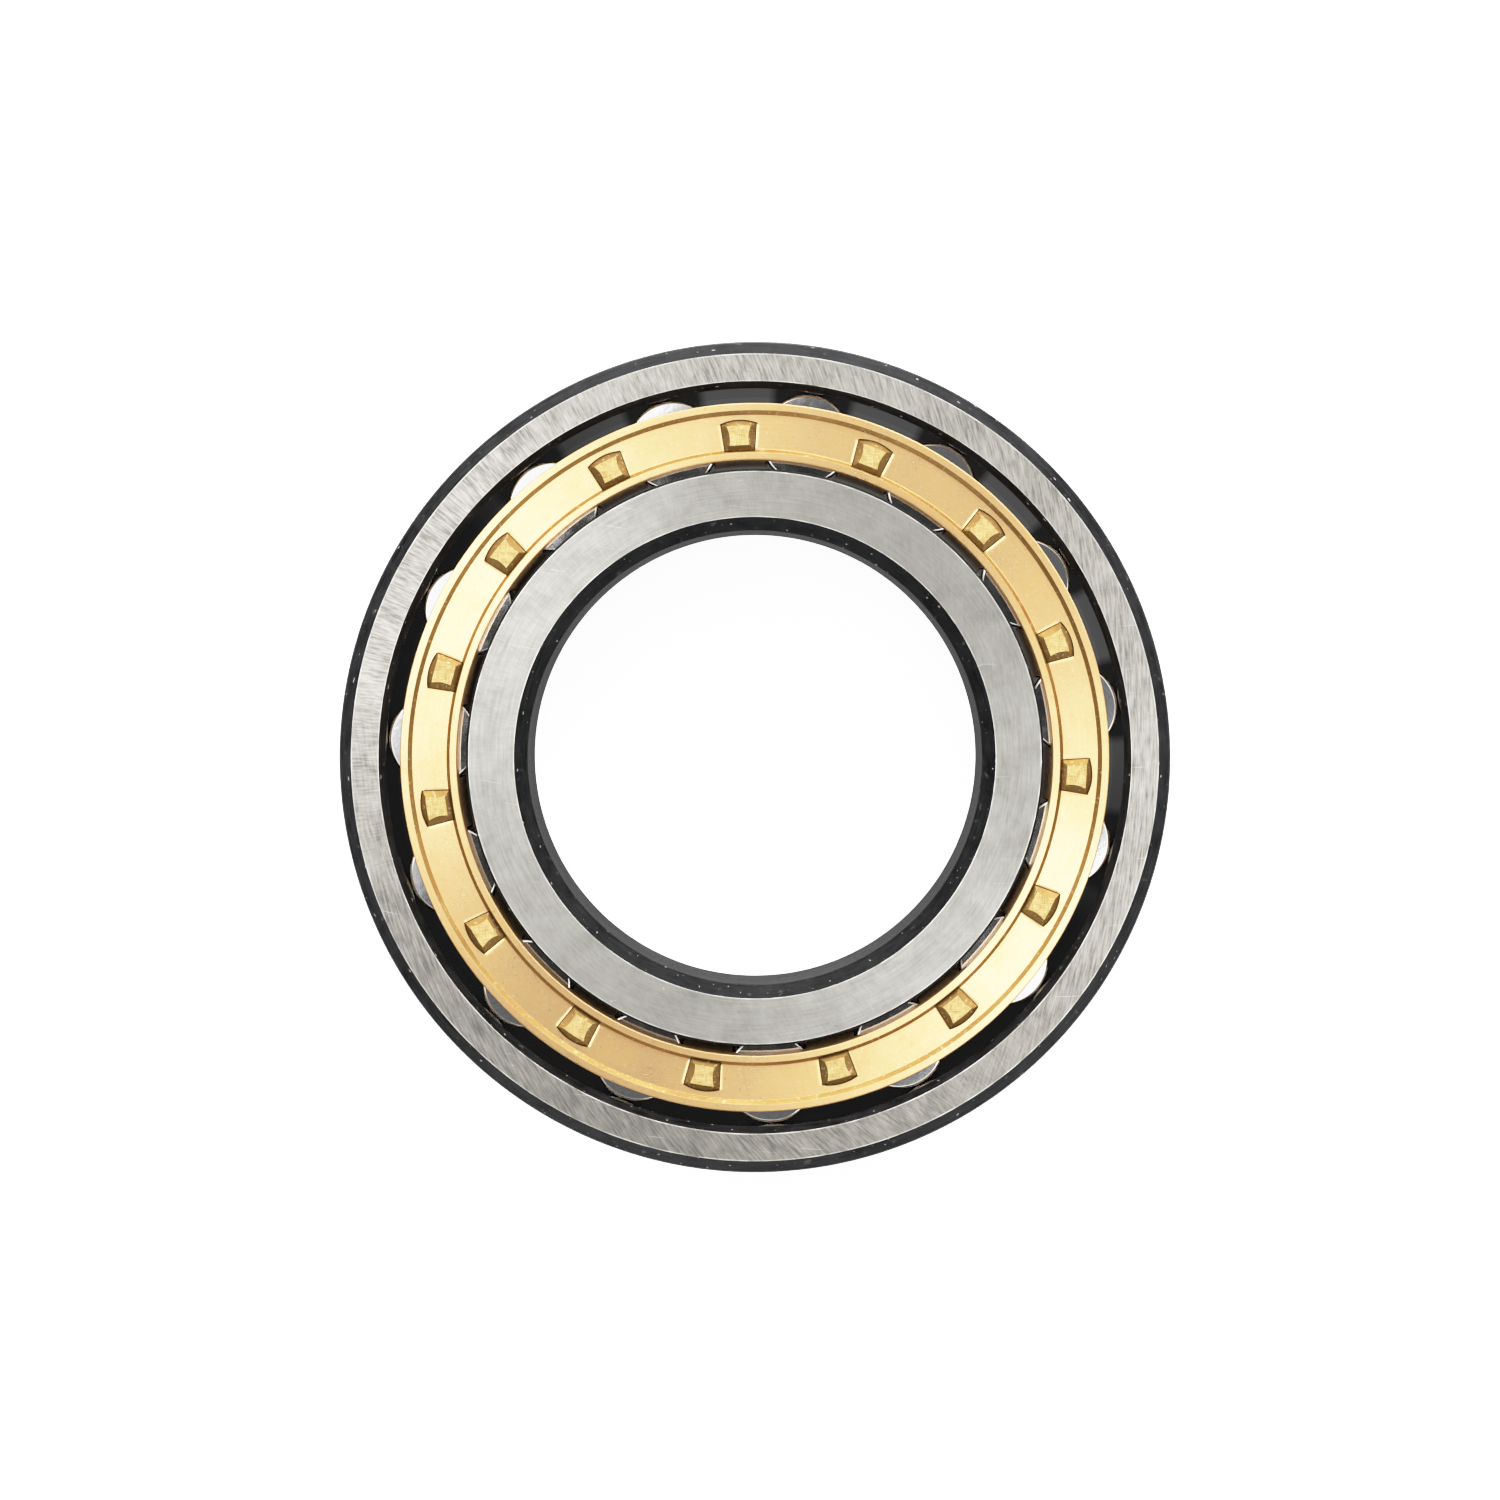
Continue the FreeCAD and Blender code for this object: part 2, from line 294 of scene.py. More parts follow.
# --- materials --------------------------------------------------------------------------------
class Shader:
    """A node material with short ways to add nodes."""

    def __init__(self, name):
        self.material = bpy.data.materials.new(name)
        self.material.use_nodes = True
        self.tree = self.material.node_tree
        self.surface = self.tree.nodes["Principled BSDF"]
        self.place = self.tree.nodes.new("ShaderNodeTexCoord").outputs["Object"]

    def feed(self, socket, value):
        """Link an output to a socket, or set the socket's own value."""
        if isinstance(value, bpy.types.NodeSocket):
            self.tree.links.new(value, socket)
        else:
            socket.default_value = value

    def math(self, operation, *values):
        node = self.tree.nodes.new("ShaderNodeMath")
        node.operation = operation
        for socket, value in zip(node.inputs, values):
            self.feed(socket, value)
        return node.outputs[0]

    def vector(self, x=0.0, y=0.0, z=0.0):
        node = self.tree.nodes.new("ShaderNodeCombineXYZ")
        for socket, value in zip(node.inputs, (x, y, z)):
            self.feed(socket, value)
        return node.outputs[0]

    def axes(self):
        """x, y and z of the place on the object."""
        node = self.tree.nodes.new("ShaderNodeSeparateXYZ")
        self.feed(node.inputs[0], self.place)
        return node.outputs[0], node.outputs[1], node.outputs[2]

    def distance(self, x0=0.0, y0=0.0):
        """Distance from an upright line through (x0, y0)."""
        x, y, _ = self.axes()
        dx = self.math("SUBTRACT", x, x0)
        dy = self.math("SUBTRACT", y, y0)
        squares = self.math("ADD", self.math("MULTIPLY", dx, dx), self.math("MULTIPLY", dy, dy))
        return self.math("SQRT", squares)

    def bearing_of(self, x0=0.0, y0=0.0):
        """Angle round an upright line through (x0, y0), in radians."""
        x, y, _ = self.axes()
        return self.math("ARCTAN2", self.math("SUBTRACT", y, y0), self.math("SUBTRACT", x, x0))

    def noise(self, vector, scale, detail=2.0, roughness=0.5):
        node = self.tree.nodes.new("ShaderNodeTexNoise")
        self.feed(node.inputs["Vector"], vector)
        node.inputs["Scale"].default_value = scale
        node.inputs["Detail"].default_value = detail
        node.inputs["Roughness"].default_value = roughness
        return node.outputs["Fac"]

    def spread(self, value, low, high, to_low, to_high):
        """Map a range to another, held at both ends."""
        node = self.tree.nodes.new("ShaderNodeMapRange")
        for socket, number in zip(node.inputs, (value, low, high, to_low, to_high)):
            self.feed(socket, number)
        return node.outputs[0]

    def blend(self, factor, first, second):
        """Mix two colours."""
        node = self.tree.nodes.new("ShaderNodeMix")
        node.data_type = "RGBA"
        self.feed(node.inputs[0], factor)
        self.feed(node.inputs[6], first)
        self.feed(node.inputs[7], second)
        return node.outputs[2]

    def bump(self, height, distance, strength=1.0, normal=None):
        node = self.tree.nodes.new("ShaderNodeBump")
        node.inputs["Strength"].default_value = strength
        node.inputs["Distance"].default_value = distance
        self.feed(node.inputs["Height"], height)
        if normal is not None:
            self.feed(node.inputs["Normal"], normal)
        return node.outputs[0]

    def turned_grain(self, amount):
        """Gloss stretched as fine turning marks round Z stretch it."""
        node = self.tree.nodes.new("ShaderNodeTangent")
        node.direction_type = "RADIAL"
        node.axis = "Z"
        self.surface.inputs["Anisotropic"].default_value = amount
        self.surface.inputs["Anisotropic Rotation"].default_value = 0.25
        self.feed(self.surface.inputs["Tangent"], node.outputs[0])

    def set(self, **values):
        for name, value in values.items():
            self.feed(self.surface.inputs[name.replace("_", " ")], value)
        return self.material


# painted highlight: the pale colour of thin lines along the edges of a ring's face
EDGE_HIGHLIGHT_PALE = (0.80, 0.78, 0.73, 1)
SCRATCH_PALE = (0.72, 0.70, 0.66, 1)
# painted shade: the grey that one side of a ring's face is darkened towards
PAINTED_SHADE_GREY = (0.03, 0.028, 0.025, 1)
RUBBED_GREY = (0.10, 0.098, 0.095, 1)
NICK_PALE = (0.42, 0.41, 0.39, 1)
TARNISH = (0.42, 0.27, 0.10, 1)
BRASS_GLINT = (1.0, 0.88, 0.60, 1)


def grinding_arcs(shader, x0, y0, pitch, stretch, detail=3.0):
    """Streaks along arcs round a far centre, as a cup wheel leaves them: pitch across, stretch along."""
    across = shader.math("MULTIPLY", shader.distance(x0, y0), 1 / pitch)
    along = shader.math("MULTIPLY", shader.bearing_of(x0, y0), math.hypot(x0, y0) / stretch)
    return shader.noise(shader.vector(across, along), 1.0, detail, 0.6)


def radial_strokes(shader, radius, pitch, stretch):
    """Short strokes running outwards, closed all the way round."""
    x, y, _ = shader.axes()
    reach = shader.distance()
    turns = radius / pitch
    return shader.noise(shader.vector(shader.math("MULTIPLY", shader.math("DIVIDE", x, reach), turns),
                                      shader.math("MULTIPLY", shader.math("DIVIDE", y, reach), turns),
                                      shader.math("MULTIPLY", reach, 1 / stretch)), 1.0, 3.0, 0.6)


def shown_near(shader, bearing, start, full):
    """1 round one bearing of the ring (degrees), fading to 0 away from it.

    start and full are the cosines of the angles where it starts and where it reaches 1.
    """
    turn = shader.math("COSINE", shader.math("SUBTRACT", shader.bearing_of(), math.radians(bearing)))
    return shader.spread(turn, start, full, 0.0, 1.0)


def mixed(shader, share, first, second):
    """second where share is 1, first where it is 0."""
    return shader.math("ADD", first, shader.math("MULTIPLY", share, shader.math("SUBTRACT", second, first)))


def edge_highlight_lines(shader, inner, outer):
    """1 on the thin painted highlight lines at the edges of a ring's face, broken up by noise."""
    reach = shader.distance()
    outside = shader.spread(reach, outer - 0.17 * MM, outer - 0.10 * MM, 0.0, 1.0)
    inside = shader.spread(reach, inner + 0.08 * MM, inner + 0.14 * MM, 1.0, 0.0)
    patchy = shader.spread(shader.noise(shader.place, 350.0, 2.0, 0.6), 0.35, 0.65, 0.1, 0.8)
    return shader.math("MULTIPLY", shader.math("ADD", outside, inside), patchy)


def wheel_marks(shader, ringed, outer):
    """Sets of wheel marks in three directions, each over its own part of the face, and rings round it."""
    rightward = grinding_arcs(shader, -0.115, 0.005, 0.28 * MM, 2.6 * MM)
    leftward = grinding_arcs(shader, 0.075, 0.020, 0.30 * MM, 2.2 * MM)
    outward = radial_strokes(shader, outer, 0.26 * MM, 2.2 * MM)
    round_axis = radial_strokes(shader, outer, 6.0 * MM, 0.24 * MM)
    marks = mixed(shader, shown_near(shader, -115, 0.2, 0.8), outward, leftward)
    marks = mixed(shader, shown_near(shader, 30, -0.1, 0.4), marks, rightward)
    return mixed(shader, ringed, marks, round_axis)


def painted_shade_share(shader, bearing):
    """Share of painted shade: widely round the given bearing, and a little more round -62 degrees."""
    wide = shader.math("MULTIPLY", shown_near(shader, bearing, 0.05, 0.5), 0.2)
    return shader.math("ADD", wide, shader.math("MULTIPLY", shown_near(shader, -62, 0.3, 0.95), 0.13))


def face_steel(name, low, high, cloudy, ringed, grain, edges, shade_bearing):
    """Ground side faces: wheel marks, clouds, a few bright scratches, dents, painted highlight lines along
    the edges and painted shade round one bearing.

    cloudy and ringed are the shares of cloud and of rings in the marks; edges are the face's
    inner and outer radius.
    """
    s = Shader(name)
    marks = wheel_marks(s, ringed, edges[1])
    cloud = s.noise(s.place, 300.0, 4.0, 0.65)
    broad = s.noise(s.place, 45.0, 2.0, 0.5)
    tone = s.math("ADD", s.math("MULTIPLY", marks, 1 - cloudy), s.math("MULTIPLY", cloud, cloudy))
    tone = s.math("ADD", s.math("MULTIPLY", tone, 0.88), s.math("MULTIPLY", broad, 0.12))
    ground = s.blend(s.spread(tone, 0.37, 0.63, 0.0, 1.0), low, high)
    scratch = grinding_arcs(s, 0.03, 0.34, 0.16 * MM, 9.0 * MM, 1.0)
    bright = s.spread(scratch, 0.72, 0.79, 0.0, 0.5)
    # painted shade: the face is darkened widely round one bearing and a little more round -62 degrees
    scratched = s.blend(bright, s.blend(painted_shade_share(s, shade_bearing), ground, PAINTED_SHADE_GREY), SCRATCH_PALE)
    # painted highlight: pale lines along the face's inner and outer edges
    colour = s.blend(edge_highlight_lines(s, *edges), scratched, EDGE_HIGHLIGHT_PALE)
    gloss = s.spread(tone, 0.35, 0.65, 0.44, 0.34)
    dents = s.spread(s.noise(s.place, 1300.0, 1.0, 0.5), 0.74, 0.80, 0.0, -1.0)
    relief = s.bump(marks, 0.005 * MM, 0.8)
    pitted = s.bump(dents, 0.02 * MM, 0.8, relief)
    nicks = s.bump(s.math("MULTIPLY", bright, -1.0), 0.004 * MM, 0.8, pitted)
    s.turned_grain(grain)
    return s.set(Base_Color=colour, Metallic=1.0, Roughness=gloss, Normal=nicks)


def dark_steel(name, shade, specular):
    """Chamfers left dark by heat treatment: near black, half gloss, with pale nicks along them."""
    s = Shader(name)
    _, _, z = s.axes()
    turning = radial_strokes(s, OUTSIDE_RADIUS, 5.0 * MM, 0.12 * MM)
    cloud = s.noise(s.place, 320.0, 4.0, 0.65)
    rubbed = s.spread(s.noise(s.place, 700.0, 2.0, 0.6), 0.66, 0.74, 0.0, 0.35)
    nick = s.noise(s.vector(s.math("MULTIPLY", s.bearing_of(), OUTSIDE_RADIUS / (1.1 * MM)),
                            s.math("MULTIPLY", z, 1 / (0.35 * MM))), 1.0, 1.0, 0.5)
    nicked = s.spread(nick, 0.73, 0.77, 0.0, 0.8)
    tone = s.math("ADD", s.math("MULTIPLY", turning, 0.6), s.math("MULTIPLY", cloud, 0.4))
    darker = (0.4 * shade, 0.4 * shade, 0.42 * shade, 1)
    lighter = (3.6 * shade, 3.65 * shade, 3.8 * shade, 1)
    base = s.blend(s.spread(tone, 0.38, 0.64, 0.0, 1.0), darker, lighter)
    colour = s.blend(nicked, s.blend(rubbed, base, RUBBED_GREY), NICK_PALE)
    gloss = s.spread(tone, 0.35, 0.65, 0.30, 0.46)
    s.surface.inputs["Specular IOR Level"].default_value = specular
    fine = s.bump(turning, 0.004 * MM, 0.7)
    relief = s.bump(cloud, 0.02 * MM, 0.4, fine)
    return s.set(Base_Color=colour, Metallic=0.0, Roughness=gloss, Normal=relief)


def wall_steel(name, low, high):
    """Ground bore and outside diameter: fine marks round the axis."""
    s = Shader(name)
    _, _, z = s.axes()
    rings = s.noise(s.vector(s.math("MULTIPLY", z, 1 / (0.11 * MM)),
                             s.math("MULTIPLY", s.bearing_of(), 6.0)), 1.0, 3.0, 0.6)
    cloud = s.noise(s.place, 90.0, 3.0, 0.6)
    tone = s.math("ADD", s.math("MULTIPLY", rings, 0.5), s.math("MULTIPLY", cloud, 0.5))
    colour = s.blend(s.spread(tone, 0.35, 0.65, 0.0, 1.0), (low, low, low, 1), (high, high, 0.98 * high, 1))
    gloss = s.spread(rings, 0.3, 0.7, 0.24, 0.34)
    return s.set(Base_Color=colour, Metallic=1.0, Roughness=gloss, Normal=s.bump(rings, 0.0015 * MM, 0.6))


def race_steel():
    """Honed raceways: almost a mirror, with faint rings."""
    s = Shader("honed_race_steel")
    _, _, z = s.axes()
    rings = s.noise(s.vector(s.math("MULTIPLY", z, 1 / (0.07 * MM)),
                             s.math("MULTIPLY", s.bearing_of(), 4.0)), 1.0, 2.0, 0.5)
    colour = s.blend(rings, (0.44, 0.43, 0.415, 1), (0.52, 0.51, 0.49, 1))
    return s.set(Base_Color=colour, Metallic=1.0, Roughness=s.spread(rings, 0.3, 0.7, 0.05, 0.09),
                 Normal=s.bump(rings, 0.0006 * MM, 0.5))


def roller_steel():
    """Superfinished rollers, with swirling grinding arcs on their ends."""
    s = Shader("roller_steel")
    arcs = grinding_arcs(s, 0.011, 0.004, 0.16 * MM, 2.2 * MM)
    swirl = grinding_arcs(s, -0.006, 0.012, 0.22 * MM, 2.6 * MM)
    blotch = s.noise(s.place, 420.0, 3.0, 0.6)
    marks = s.math("ADD", s.math("MULTIPLY", arcs, 0.5), s.math("MULTIPLY", swirl, 0.5))
    colour = s.blend(s.spread(marks, 0.35, 0.65, 0.0, 1.0), (0.56, 0.57, 0.58, 1), (0.74, 0.74, 0.74, 1))
    gloss = s.spread(blotch, 0.35, 0.65, 0.03, 0.07)
    wavy = s.bump(blotch, 0.012 * MM, 0.3)
    relief = s.bump(marks, 0.0008 * MM, 0.6, wavy)
    return s.set(Base_Color=colour, Metallic=1.0, Roughness=gloss, Normal=relief)


def brass(name, pale, deep, grain, rough):
    """Machined brass: fine turning rings, soft clouds of tarnish and a few specks."""
    s = Shader(name)
    rings = s.noise(s.vector(s.math("MULTIPLY", s.distance(), 1 / (0.14 * MM)),
                             s.math("MULTIPLY", s.bearing_of(), 5.0)), 1.0, 3.0, 0.6)
    cloud = s.noise(s.place, 160.0, 4.0, 0.6)
    speck = s.spread(s.noise(s.place, 1900.0, 2.0, 0.6), 0.60, 0.74, 0.0, 1.0)
    glint = s.spread(s.noise(s.place, 2300.0, 2.0, 0.6), 0.60, 0.72, 0.0, 1.0)
    tone = s.math("ADD", s.math("MULTIPLY", rings, 0.35), s.math("MULTIPLY", cloud, 0.65))
    base = s.blend(s.spread(tone, 0.35, 0.65, 0.0, 1.0), deep, pale)
    stained = s.blend(s.math("MULTIPLY", speck, 0.4), base, TARNISH)
    colour = s.blend(s.math("MULTIPLY", glint, 0.3), stained, BRASS_GLINT)
    gloss = s.spread(tone, 0.3, 0.7, rough + 0.05, rough - 0.04)
    fine = s.bump(rings, 0.0022 * MM, 0.6)
    pits = s.bump(s.math("SUBTRACT", glint, speck), 0.003 * MM, 0.6, fine)
    s.turned_grain(grain)
    return s.set(Base_Color=colour, Metallic=1.0, Roughness=gloss, Normal=pits)


def file_marks(shader, x_pitch, y_pitch):
    """Straight marks, with one pitch along X and another along Y."""
    x, y, _ = shader.axes()
    place = shader.vector(shader.math("MULTIPLY", x, 1 / x_pitch), shader.math("MULTIPLY", y, 1 / y_pitch))
    return shader.noise(place, 1.0, 3.0, 0.65)


def pad_brass():
    """Flats on the tenon heads, filed across: short crossing file marks, darker than the turned band."""
    s = Shader("pad_brass")
    along = file_marks(s, 0.13 * MM, 1.6 * MM)
    across = file_marks(s, 1.3 * MM, 0.15 * MM)
    blotch = s.noise(s.place, 900.0, 3.0, 0.6)
    filed = s.math("ADD", s.math("MULTIPLY", along, 0.5), s.math("MULTIPLY", across, 0.5))
    tone = s.math("ADD", s.math("MULTIPLY", filed, 0.7), s.math("MULTIPLY", blotch, 0.3))
    colour = s.blend(s.spread(tone, 0.41, 0.59, 0.0, 1.0), (0.39, 0.25, 0.085, 1), (0.83, 0.57, 0.25, 1))
    gloss = s.spread(tone, 0.35, 0.65, 0.42, 0.32)
    return s.set(Base_Color=colour, Metallic=1.0, Roughness=gloss, Normal=s.bump(filed, 0.008 * MM, 0.8))


# Places of the finishes in a ring's and in a brass part's list of materials.
FACE, DARK, WALL, RACE, LEAD_IN = range(5)
TURNED, CUT, PAD = range(3)


# --- pieces -----------------------------------------------------------------------------------
def corner_points(radius, rounding, inward, top):
    """A ring's corner: the wall end, then the face end, rounded where it meets the wall."""
    side = -1 if inward else 1
    face_z = HALF_WIDTH if top else -HALF_WIDTH
    wall_z = face_z - CORNER if top else face_z + CORNER
    wall = (radius, wall_z, rounding)
    face = (radius - side * CORNER, face_z, BURR)
    return wall, face


def make_outer_ring(materials):
    """Plain outside, lead-in bevels and a bare raceway inside."""
    lead = RACE_RADIUS + LEAD_IN_HEIGHT
    race_end = HALF_WIDTH - LEAD_IN_DEPTH
    top_wall, top_face = corner_points(OUTSIDE_RADIUS, OUTSIDE_ROUND, False, True)
    low_wall, low_face = corner_points(OUTSIDE_RADIUS, OUTSIDE_ROUND, False, False)
    outline = rounded_outline([
        (RACE_RADIUS, -race_end, RACE_EDGE, RACE),
        (RACE_RADIUS, race_end, RACE_EDGE, LEAD_IN),
        (lead, HALF_WIDTH, BURR, FACE),
        (*top_face, DARK),
        (*top_wall, WALL),
        (*low_wall, DARK),
        (*low_face, FACE),
        (lead, -HALF_WIDTH, BURR, LEAD_IN),
    ])
    ring = new_object("outer_ring_piece", lathe_mesh("outer_ring_mesh", outline, RING_SEGMENTS), materials)
    finished(ring)
    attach(ring, "outer_ring")
    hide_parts("outer_ring")


def make_inner_ring(materials):
    """Shaft bore inside, and a raceway between two ribs outside."""
    top_wall, top_face = corner_points(BORE_RADIUS, BORE_ROUND, True, True)
    low_wall, low_face = corner_points(BORE_RADIUS, BORE_ROUND, True, False)
    rib_edge = RIB_RADIUS - RIB_CHAMFER
    outline = rounded_outline([
        (*top_wall, DARK),
        (*top_face, FACE),
        (rib_edge, HALF_WIDTH, BURR, DARK),
        (RIB_RADIUS, HALF_WIDTH - RIB_CHAMFER, BURR, WALL),
        (RIB_RADIUS, RIB_FACE + RIB_CHAMFER, BURR, WALL),
        (rib_edge, RIB_FACE, BURR, RACE),
        (INNER_RACE_RADIUS - GROOVE, RIB_FACE + GROOVE, GROOVE_ROUND, RACE),
        (INNER_RACE_RADIUS, RIB_FACE - 3 * GROOVE, BURR, RACE),
        (INNER_RACE_RADIUS, -RIB_FACE + 3 * GROOVE, BURR, RACE),
        (INNER_RACE_RADIUS - GROOVE, -RIB_FACE - GROOVE, GROOVE_ROUND, RACE),
        (rib_edge, -RIB_FACE, BURR, WALL),
        (RIB_RADIUS, -RIB_FACE - RIB_CHAMFER, BURR, WALL),
        (RIB_RADIUS, -HALF_WIDTH + RIB_CHAMFER, BURR, DARK),
        (rib_edge, -HALF_WIDTH, BURR, FACE),
        (*low_face, DARK),
        (*low_wall, WALL),
    ])
    ring = new_object("inner_ring_piece", lathe_mesh("inner_ring_mesh", outline, RING_SEGMENTS), materials)
    finished(ring)
    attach(ring, "inner_ring")
    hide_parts("inner_ring")


def make_rollers(material):
    """Fifteen rollers with rounded edges, each with its grain turned its own way."""
    outline = rounded_outline([
        (0.0, -ROLLER_HALF, 0, 0),
        (ROLLER_RADIUS, -ROLLER_HALF, ROLLER_EDGE, 0),
        (ROLLER_RADIUS, ROLLER_HALF, ROLLER_EDGE, 0),
        (0.0, ROLLER_HALF, 0, 0),
    ], steps=7)
    for number, (body, place) in enumerate(sorted(ROLLER_PLACES.items())):
        mesh = lathe_mesh(body + "_mesh", outline, ROLLER_SEGMENTS, closed=False)
        roller = new_object(body + "_piece", mesh, [material])
        roller.location = place
        roller.rotation_euler.z = number * ROLLER_GRAIN_TURN
        finished(roller)
        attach(roller, body)
        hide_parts(body)


def head_loop(z, inner, outer, inner_half, outer_half, arc=HEAD_ARC, waist=0.0, steps=8):
    """Wedge-shaped loop on +X, wider outwards, with a curved outer end and curved-in sides."""
    corner = outer - arc

    def side_point(share, way):
        half = inner_half + (outer_half - inner_half) * share - waist * math.sin(math.pi * share)
        return Vector((inner + (corner - inner) * share, way * half, z))

    loop = [side_point(i / steps, -1) for i in range(steps)]
    for i in range(steps):
        share = i / steps * 2 - 1
        loop.append(Vector((corner + arc * (1 - share * share), outer_half * share, z)))
    loop += [side_point(1 - i / steps, 1) for i in range(steps)]
    loop += [Vector((inner, inner_half * (1 - 2 * i / steps), z)) for i in range(steps)]
    return loop


def head_outline(z, grow=0.0):
    """A head's outline at a height, grown on all sides."""
    return head_loop(z, HEAD_INNER - grow, HEAD_OUTER + grow, HEAD_INNER_HALF + grow, HEAD_OUTER_HALF + grow)


def make_tenon():
    """Tenon on +X, from its foot in a bar up its neck, flank and four facets to the filed flat."""
    mesh = loops_mesh("tenon_mesh", [
        head_outline(TENON_FOOT, -NECK_IN),
        head_outline(NECK_TOP, -NECK_IN),
        head_outline(BAND_FACE - 0.16 * MM, -0.02 * MM),
        head_outline(BAND_FACE - 0.06 * MM, -0.06 * MM),
        head_loop(HEAD_TOP - 0.02 * MM, PAD_INNER - PAD_BEVEL, PAD_OUTER + PAD_BEVEL,
                  PAD_INNER_HALF + PAD_BEVEL, PAD_OUTER_HALF + PAD_BEVEL, PAD_ARC, PAD_WAIST),
        head_loop(HEAD_TOP, PAD_INNER, PAD_OUTER, PAD_INNER_HALF, PAD_OUTER_HALF, PAD_ARC, PAD_WAIST),
    ], side=CUT, top=PAD)
    tenon = new_object("tenon", mesh)
    edge = tenon.modifiers.new("edge", "BEVEL")
    edge.width = TENON_EDGE
    edge.segments = 2
    edge.limit_method = "ANGLE"
    edge.angle_limit = math.radians(20)
    return baked(tenon)


def make_cage_body(materials):
    """Comb with a bar between each pair of rollers, and a tenon on each bar."""
    outline = rounded_outline([
        (CAGE_INSIDE, CAGE_BACK, CAGE_EDGE, 0),
        (CAGE_OUTSIDE, CAGE_BACK, CAGE_EDGE, 0),
        (CAGE_OUTSIDE, POCKET_END, 0, 0),
        (CAGE_INSIDE, POCKET_END, 0, 0),
    ])
    comb = new_object("cage_body_piece", lathe_mesh("cage_body_mesh", outline, RING_SEGMENTS), materials)
    pocket_outline = rounded_outline([
        (0.0, -POCKET_END, 0, 0),
        (POCKET_RADIUS, -POCKET_END, 0, 0),
        (POCKET_RADIUS, POCKET_END + 1 * MM, 0, 0),
        (0.0, POCKET_END + 1 * MM, 0, 0),
    ])
    mesh = lathe_mesh("pocket_mesh", pocket_outline, POCKET_SEGMENTS, closed=False)
    mesh.transform(Matrix.Translation((PITCH_RADIUS, 0, 0)))
    combined(comb, copies_round(new_object("pocket", mesh), FIRST_ROLLER_ANGLE), "DIFFERENCE")
    combined(comb, copies_round(make_tenon(), FIRST_TENON_ANGLE), "UNION")
    finished(comb)
    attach(comb, "cage")
    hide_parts("cage_body")


def make_tenon_hole():
    """What is cut out of the end ring for a tenon."""
    return new_object("tenon_hole", loops_mesh("tenon_hole_mesh", [
        head_outline(TENON_FOOT, HEAD_GAP - NECK_IN),
        head_outline(NECK_TOP, HEAD_GAP - NECK_IN),
        head_outline(BAND_FACE - 0.1 * MM, HEAD_GAP),
        head_outline(CAGE_FACE + 1 * MM, HEAD_GAP),
    ], side=CUT))


def make_swept_side():
    """Cutter for the shallow burnished slope on the band at both sides of a head."""
    low = head_loop(BAND_FACE - SWEPT_DEPTH, SWEPT_INNER, HEAD_OUTER - 0.2 * MM,
                    HEAD_INNER_HALF + 0.02 * MM, HEAD_OUTER_HALF)
    grow = SWEPT_SIDE * (1 + CUT_PAST / SWEPT_DEPTH)
    high = head_loop(BAND_FACE + CUT_PAST, SWEPT_INNER, HEAD_OUTER - 0.1 * MM,
                     HEAD_INNER_HALF + grow, HEAD_OUTER_HALF + grow)
    return new_object("swept_side", loops_mesh("swept_side_mesh", [low, high]))


def make_cage_end_ring(materials):
    """End ring with a raised rim on each edge and a hole for each tenon."""
    outline = rounded_outline([
        (CAGE_INSIDE, POCKET_END, CAGE_BACK_EDGE, TURNED),
        (CAGE_INSIDE, CAGE_FACE, CAGE_EDGE, TURNED),
        (INNER_WALL_TOP, CAGE_FACE, WALL_ROUND, CUT),
        (INNER_WALL_FOOT, BAND_FACE, FOOT_FILLET, TURNED),
        (OUTER_WALL_FOOT, BAND_FACE, FOOT_FILLET, CUT),
        (OUTER_WALL_TOP, CAGE_FACE, WALL_ROUND, TURNED),
        (CAGE_OUTSIDE, CAGE_FACE, CAGE_EDGE, TURNED),
        (CAGE_OUTSIDE, POCKET_END, CAGE_BACK_EDGE, TURNED),
    ])
    mesh = lathe_mesh("cage_end_ring_mesh", outline, RING_SEGMENTS)
    ring = new_object("cage_end_ring_piece", mesh, materials)
    combined(ring, copies_round(make_swept_side(), FIRST_TENON_ANGLE), "DIFFERENCE")
    combined(ring, copies_round(make_tenon_hole(), FIRST_TENON_ANGLE), "DIFFERENCE")
    finished(ring)
    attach(ring, "cage")
    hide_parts("cage_end_ring")


# --- stage ------------------------------------------------------------------------------------
FLOOR_HALF = 3.0
PATCH_INNER = 30.9 * MM
PATCH_OUTER = 52.8 * MM
PATCH_LIFT = 0.01 * MM
PATCH_SEGMENTS = 96
STUDIO_GREY = 0.26
CAMERA_PLACE = Vector((1.3, 10.1, 588.0)) * MM
CAMERA_TARGET = Vector((-0.63, 1.05, 11.0)) * MM
CAMERA_LENS = 105.1
WHITE_LEVEL = 2.5
# Tone curve: linear light as a share of the white level, and the tone shown for it.
SHOULDER = ((0.12, 0.30), (0.24, 0.595), (0.30, 0.70), (0.40, 0.83), (0.55, 0.925), (0.75, 0.975))
# Soft round glows: azimuth and angle off the zenith, core and edge (degrees), radiance.
GLOWS = (
    (175, 34, 5, 30, 2.1),
    (150, 38, 5, 38, 0.5),
    (125, 45, 5, 34, 0.85),
    (160, 25, 5, 22, 0.6),
    (-31, 25, 5, 22, 3.2),
    (60, 40, 5, 34, 0.95),
    (85, 65, 5, 38, 3.6),
    (40, 60, 5, 36, 4.0),
    (135, 62, 5, 34, 2.6),
    (-45, 85, 5, 35, 2.0),
    (90, 88, 5, 50, 3.2),
    (-105, 85, 5, 40, 1.7),
    # what the flat roller ends mirror
    (140, 16.3, 12.85, 13.05, 2.1),
    (106, 6.8, 3.15, 3.35, 0.45),
    (190, 7.7, 3.1, 3.4, 0.6),
    (-36, 12.6, 7.4, 7.6, 2.4),
    (-97, 1, 4, 12, -0.08),
    (-97, 1, 4.0, 4.5, -0.14),
    # shade from straight below
    (0, 180, 14, 52, -0.16),
)


